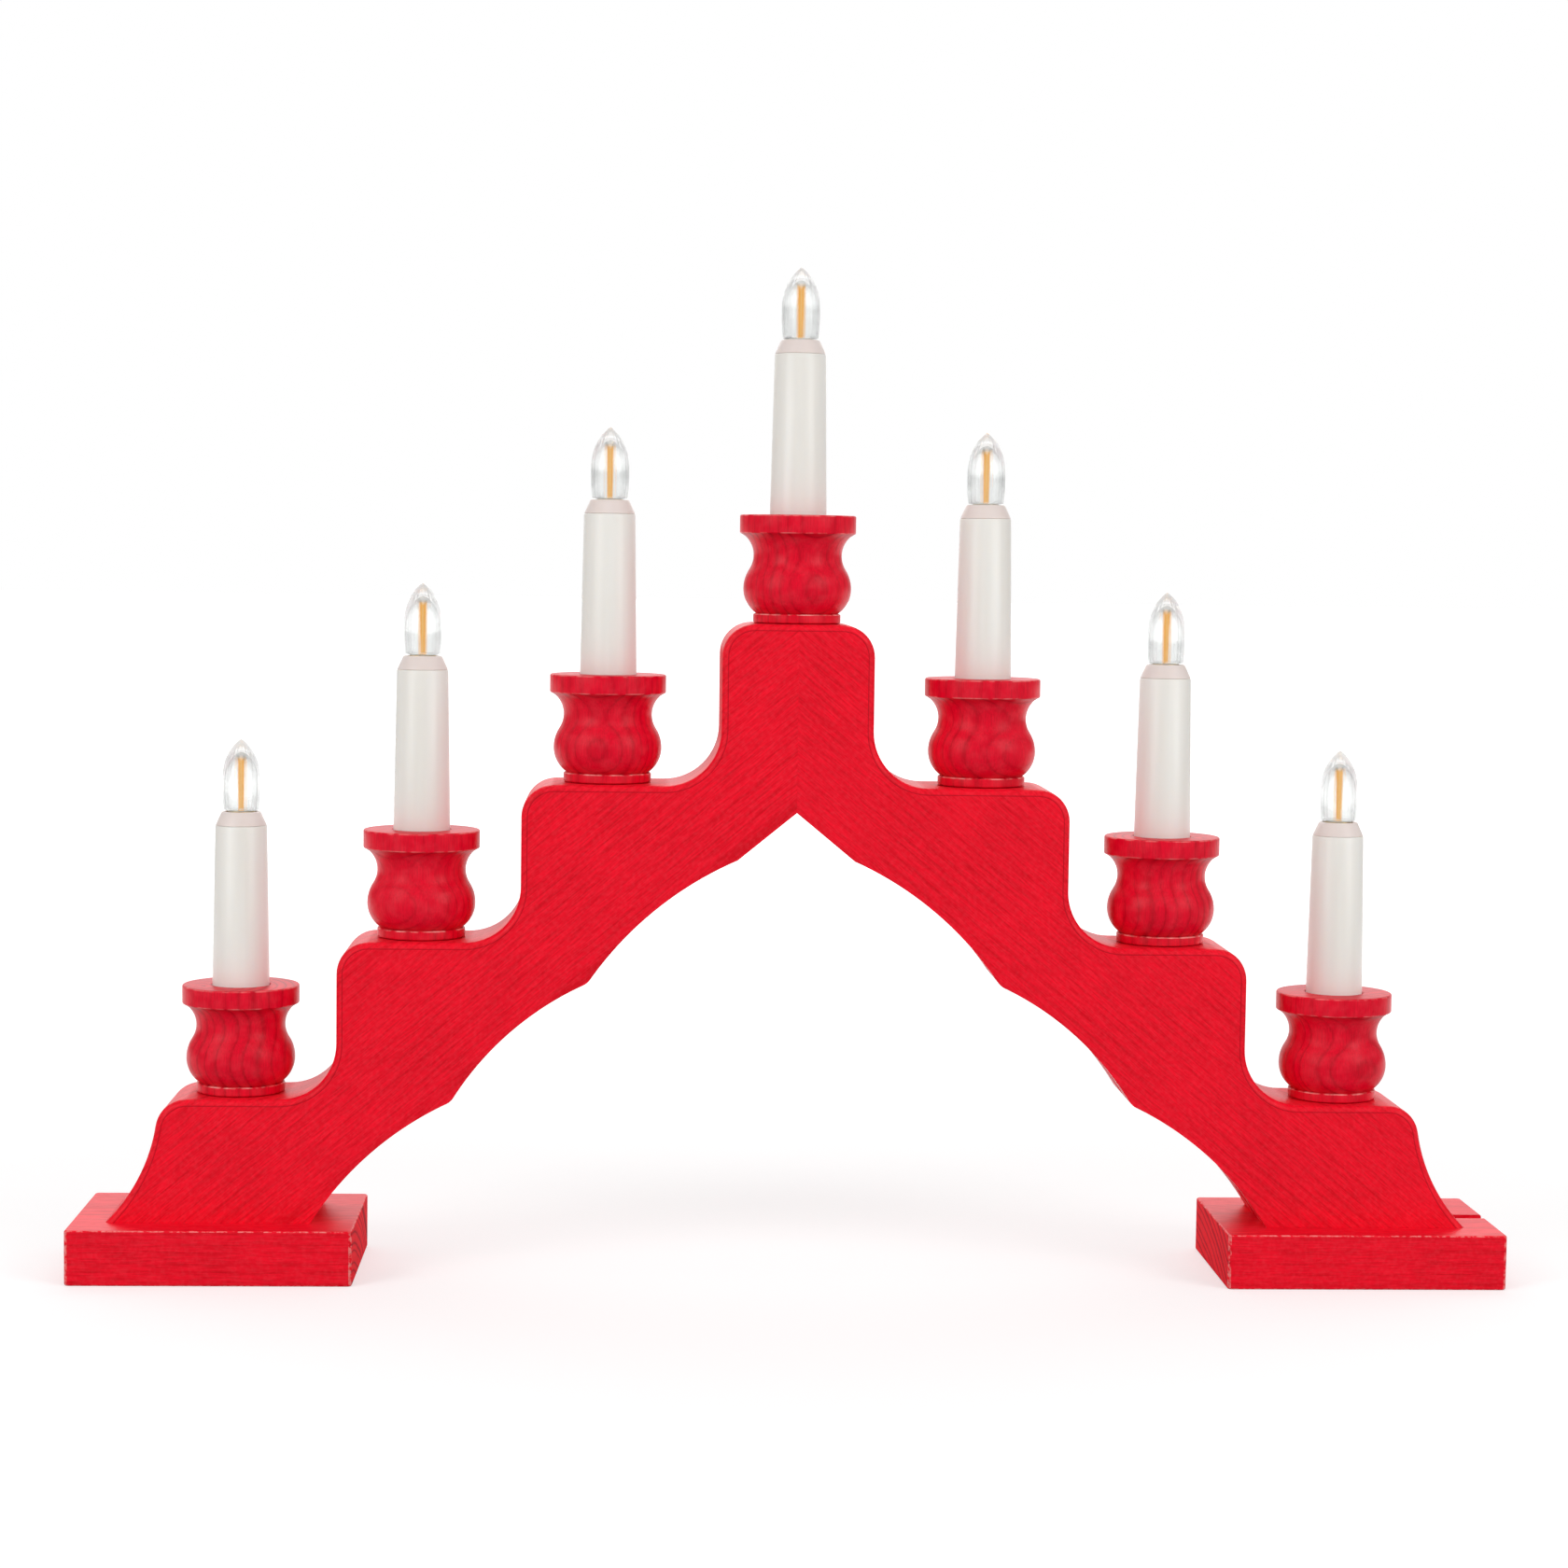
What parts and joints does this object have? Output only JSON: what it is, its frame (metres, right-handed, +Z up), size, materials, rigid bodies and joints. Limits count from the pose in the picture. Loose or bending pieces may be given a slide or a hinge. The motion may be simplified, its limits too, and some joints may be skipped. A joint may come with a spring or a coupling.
{
  "type": "electric candle arch",
  "caption": "Stepped wooden candle arch, mitred at the crown and standing on two flat feet, with turned cups, white candle sleeves and screw-in filament bulbs.",
  "frame": {"origin": "on the floor, midway between the feet's outer ends and between front and back", "axes": "+X to the right seen from the front, +Y to the back, +Z up"},
  "size_m": [0.4916, 0.065, 0.3473],
  "materials": {
    "stained_pine": "red stain under satin varnish",
    "stained_turning": "darker red, glossier varnish on turned wood",
    "bare_pine": "unfinished",
    "sleeve_plastic": "warm white, satin",
    "holder_plastic": "white, moulded",
    "cap_brass": "rolled, bright",
    "solder": "dull solder",
    "zinc_steel": "zinc plated",
    "clear_glass": "clear, drawn tip",
    "phosphor": "amber coating"
  },
  "bodies": {
    "stand": {"arch_left": "stained_pine", "arch_right": "stained_pine", "foot_left": "stained_pine", "foot_right": "stained_pine", "screw_left_front": "zinc_steel", "screw_left_back": "zinc_steel", "screw_right_front": "zinc_steel", "screw_right_back": "zinc_steel", "dowel_1": "bare_pine", "dowel_2": "bare_pine", "cup_1": "stained_turning", "cup_2": "stained_turning", "cup_3": "stained_turning", "cup_4": "stained_turning", "cup_5": "stained_turning", "cup_6": "stained_turning", "cup_7": "stained_turning", "sleeve_1": "sleeve_plastic", "sleeve_2": "sleeve_plastic", "sleeve_3": "sleeve_plastic", "sleeve_4": "sleeve_plastic", "sleeve_5": "sleeve_plastic", "sleeve_6": "sleeve_plastic", "sleeve_7": "sleeve_plastic", "lampholder_1": "holder_plastic", "lampholder_2": "holder_plastic", "lampholder_3": "holder_plastic", "lampholder_4": "holder_plastic", "lampholder_5": "holder_plastic", "lampholder_6": "holder_plastic", "lampholder_7": "holder_plastic"},
    "bulb_1_tip": {"bulb_contact_1": "solder"},
    "bulb_1": {"bulb_cap_1": "cap_brass", "bulb_glass_1": "clear_glass", "bulb_filament_1": "phosphor"},
    "bulb_2_tip": {"bulb_contact_2": "solder"},
    "bulb_2": {"bulb_cap_2": "cap_brass", "bulb_glass_2": "clear_glass", "bulb_filament_2": "phosphor"},
    "bulb_3_tip": {"bulb_contact_3": "solder"},
    "bulb_3": {"bulb_cap_3": "cap_brass", "bulb_glass_3": "clear_glass", "bulb_filament_3": "phosphor"},
    "bulb_4_tip": {"bulb_contact_4": "solder"},
    "bulb_4": {"bulb_cap_4": "cap_brass", "bulb_glass_4": "clear_glass", "bulb_filament_4": "phosphor"},
    "bulb_5_tip": {"bulb_contact_5": "solder"},
    "bulb_5": {"bulb_cap_5": "cap_brass", "bulb_glass_5": "clear_glass", "bulb_filament_5": "phosphor"},
    "bulb_6_tip": {"bulb_contact_6": "solder"},
    "bulb_6": {"bulb_cap_6": "cap_brass", "bulb_glass_6": "clear_glass", "bulb_filament_6": "phosphor"},
    "bulb_7_tip": {"bulb_contact_7": "solder"},
    "bulb_7": {"bulb_cap_7": "cap_brass", "bulb_glass_7": "clear_glass", "bulb_filament_7": "phosphor"}
  },
  "joints": [
    {"name": "bulb_1_rise", "type": "slide", "parent": "stand", "child": "bulb_1_tip", "axis": [0, 0, 1], "range_m": [0, 0.00634]},
    {"name": "bulb_1_turn", "type": "hinge", "parent": "bulb_1_tip", "child": "bulb_1", "pos_m": [-0.1904, 0, 0.1536], "axis": [0, 0, 1], "range_deg": [0, 1260]},
    {"name": "bulb_2_rise", "type": "slide", "parent": "stand", "child": "bulb_2_tip", "axis": [0, 0, 1], "range_m": [0, 0.00634]},
    {"name": "bulb_2_turn", "type": "hinge", "parent": "bulb_2_tip", "child": "bulb_2", "pos_m": [-0.1285, 0, 0.20785], "axis": [0, 0, 1], "range_deg": [0, 1260]},
    {"name": "bulb_3_rise", "type": "slide", "parent": "stand", "child": "bulb_3_tip", "axis": [0, 0, 1], "range_m": [0, 0.00634]},
    {"name": "bulb_3_turn", "type": "hinge", "parent": "bulb_3_tip", "child": "bulb_3", "pos_m": [-0.0648, 0, 0.2621], "axis": [0, 0, 1], "range_deg": [0, 1260]},
    {"name": "bulb_4_rise", "type": "slide", "parent": "stand", "child": "bulb_4_tip", "axis": [0, 0, 1], "range_m": [0, 0.00634]},
    {"name": "bulb_4_turn", "type": "hinge", "parent": "bulb_4_tip", "child": "bulb_4", "pos_m": [0, 0, 0.3175], "axis": [0, 0, 1], "range_deg": [0, 1260]},
    {"name": "bulb_5_rise", "type": "slide", "parent": "stand", "child": "bulb_5_tip", "axis": [0, 0, 1], "range_m": [0, 0.00634]},
    {"name": "bulb_5_turn", "type": "hinge", "parent": "bulb_5_tip", "child": "bulb_5", "pos_m": [0.0648, 0, 0.2621], "axis": [0, 0, 1], "range_deg": [0, 1260]},
    {"name": "bulb_6_rise", "type": "slide", "parent": "stand", "child": "bulb_6_tip", "axis": [0, 0, 1], "range_m": [0, 0.00634]},
    {"name": "bulb_6_turn", "type": "hinge", "parent": "bulb_6_tip", "child": "bulb_6", "pos_m": [0.1285, 0, 0.20785], "axis": [0, 0, 1], "range_deg": [0, 1260]},
    {"name": "bulb_7_rise", "type": "slide", "parent": "stand", "child": "bulb_7_tip", "axis": [0, 0, 1], "range_m": [0, 0.00634]},
    {"name": "bulb_7_turn", "type": "hinge", "parent": "bulb_7_tip", "child": "bulb_7", "pos_m": [0.1904, 0, 0.1536], "axis": [0, 0, 1], "range_deg": [0, 1260]}
  ],
  "couplings": [
    {"joint": "bulb_1_rise", "follows": "bulb_1_turn", "m_per_rad": 0.000288},
    {"joint": "bulb_2_rise", "follows": "bulb_2_turn", "m_per_rad": 0.000288},
    {"joint": "bulb_3_rise", "follows": "bulb_3_turn", "m_per_rad": 0.000288},
    {"joint": "bulb_4_rise", "follows": "bulb_4_turn", "m_per_rad": 0.000288},
    {"joint": "bulb_5_rise", "follows": "bulb_5_turn", "m_per_rad": 0.000288},
    {"joint": "bulb_6_rise", "follows": "bulb_6_turn", "m_per_rad": 0.000288},
    {"joint": "bulb_7_rise", "follows": "bulb_7_turn", "m_per_rad": 0.000288}
  ]
}
